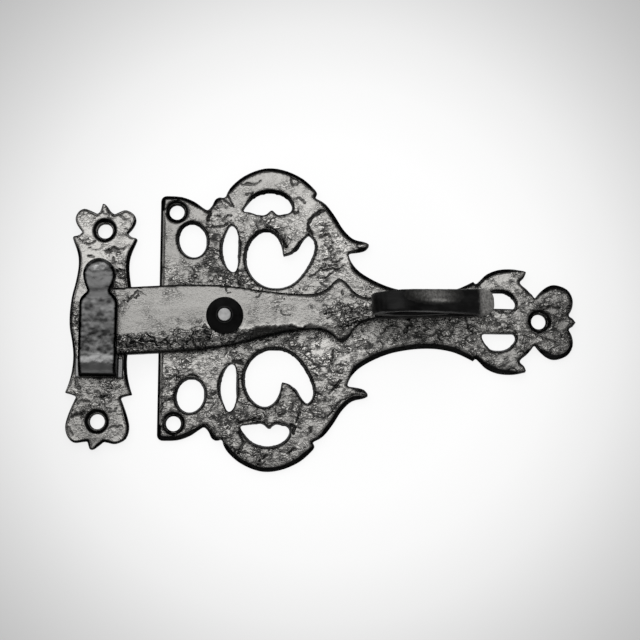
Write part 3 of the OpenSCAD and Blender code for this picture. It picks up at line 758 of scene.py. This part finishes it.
def make_pivot():
    washer = skin_copy("dished_washer", "dished_washer_ring", WASHER_VOXEL)
    give(washer, smooth_iron("washer_black_iron", 0.014, 0.3))
    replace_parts(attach(washer, "plate"), "dished_washer")
    rivet = skin_copy("pivot_rivet", "peened_rivet", RIVET_VOXEL)
    at, _ = points(rivet)
    # Painted shade: the peened end is black outside its middle
    end = 1 - step(np.hypot(at[:, 0], at[:, 1]), 2.2, 2.45)
    notch = np.exp(-((at[:, 0] - 2.0) / 0.3) ** 2 - ((at[:, 1] + 0.2) / 0.5) ** 2)
    paint(rivet, "tone", np.where(at[:, 2] > 8, end * (1 - 0.8 * notch), 0.6))
    give(rivet, smooth_iron("rivet_iron", 0.3, 0.4, steep=(0.72, 0.96)))
    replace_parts(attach(rivet, "plate"), "pivot_rivet")
    give(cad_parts["friction_washer"], smooth_iron("friction_washer_iron", 0.1, 0.4))


make_back_plate()
make_keeper_plate()
make_lever()
make_hook()
make_pivot()


# Camera

PHOTO_WIDTH, PHOTO_FOCAL = 640, 1900  # pixels
SENSOR = 36  # millimetres
SIGHT = Vector((28.275, -0.127, 1.2)) * MM  # the point that the camera looks at
ROLL, TILT, YAW = math.radians(0.707), math.radians(5.5), math.radians(-1.2)
DISTANCE = 0.56933
right = Vector((math.cos(ROLL), math.sin(ROLL), 0))
down = Vector((math.sin(ROLL), -math.cos(ROLL), 0))
back = (Vector((0, 0, math.cos(TILT))) + math.sin(TILT) * down + math.sin(YAW) * right).normalized()
up = back.cross(right).normalized()
right = up.cross(back)
camera = bpy.data.objects.new("camera", bpy.data.cameras.new("camera"))
camera.data.sensor_width = SENSOR
camera.data.lens = SENSOR * PHOTO_FOCAL / PHOTO_WIDTH
camera.data.clip_start, camera.data.clip_end = 0.01, 20
turn = Matrix((right, up, back)).transposed().to_4x4()
camera.matrix_world = Matrix.Translation(SIGHT + DISTANCE * back) @ turn
bpy.context.scene.collection.objects.link(camera)
bpy.context.scene.camera = camera


# Floor, lamp and world

FLOOR_SIZE, FLOOR_TOP = 6, -0.2 * MM
FLOOR_GLOW = 0.86  # how brightly the camera and reflections see the floor
FADE_RADIUS = 0.15  # the painted pool of light on the floor falls to its last value at this distance

# Painted pool of light: brightness of the floor against the distance, as a share of the fade's radius

FLOOR_FADE = [(0.36, 1.0), (0.48, 0.956), (0.6, 0.863), (0.738, 0.701), (0.842, 0.591),
              (0.892, 0.546), (1.0, 0.46)]


def set_stops(fade, pairs):
    """Gives a fresh colour ramp these greys at these positions."""
    stops = fade.color_ramp.elements
    for stop, (position, value) in zip(stops, (pairs[0], pairs[-1])):
        stop.position, stop.color = position, grey(value)
    for position, value in pairs[1:-1]:
        stops.new(position).color = grey(value)


def make_floor():
    bpy.ops.object.select_all(action="DESELECT")
    bpy.ops.mesh.primitive_plane_add(size=FLOOR_SIZE, location=(0, 0, FLOOR_TOP))
    floor = bpy.context.object
    floor.name = "floor"
    made, tree, shader = material("pale_floor")
    place = add(tree, "TexCoord").outputs["Object"]
    moved = vector_node(tree, "SUBTRACT", place, (SIGHT.x, SIGHT.y, 0))
    far = add(tree, "VectorMath", _operation="LENGTH", in0=moved).outputs["Value"]
    # Painted pool of light around the point that the camera looks at, in the floor's colour and glow
    fade = add(tree, "ValToRGB", Fac=math_node(tree, "DIVIDE", far, FADE_RADIUS))
    set_stops(fade, FLOOR_FADE)
    tree.links.new(mix(tree, 1.0, fade.outputs[0], grey(0.22), "MULTIPLY"), shader.inputs["Base Color"])
    shader.inputs["Roughness"].default_value = 0.9
    shader.inputs["Specular IOR Level"].default_value = 0.0
    path = add(tree, "LightPath").outputs
    seen = math_node(tree, "MAXIMUM", path["Is Camera Ray"], path["Is Glossy Ray"])
    seen = math_node(tree, "MAXIMUM", seen, path["Is Transmission Ray"])
    tree.links.new(fade.outputs[0], shader.inputs["Emission Color"])
    tree.links.new(math_node(tree, "MULTIPLY", seen, FLOOR_GLOW), shader.inputs["Emission Strength"])
    floor.data.materials.append(made)


def make_lamp(name, place, aim, size, power):
    lamp = bpy.data.objects.new(name, bpy.data.lights.new(name, "AREA"))
    lamp.data.shape = "SQUARE"
    lamp.data.size = size
    lamp.data.energy = power
    lamp.location = place
    lamp.rotation_euler = (Vector(place) - Vector(aim)).to_track_quat("Z", "Y").to_euler()
    bpy.context.scene.collection.objects.link(lamp)


def make_world():
    world = bpy.data.worlds.new("studio")
    bpy.context.scene.world = world
    world.use_nodes = True
    tree = world.node_tree
    way = add(tree, "TexCoord").outputs["Generated"]
    shade = add(tree, "ValToRGB", Fac=add(tree, "SeparateXYZ", Vector=way).outputs[2])
    set_stops(shade, [(0.0, 0.6), (0.4, 0.25)])
    tree.links.new(shade.outputs[0], tree.nodes["Background"].inputs["Color"])


make_floor()
make_lamp("front_softbox", place=(-0.1, 0.33, 0.7), aim=(-0.1, 0.33, 0), size=0.8, power=3.2)
make_world()
bpy.context.scene.view_settings.view_transform = "Standard"
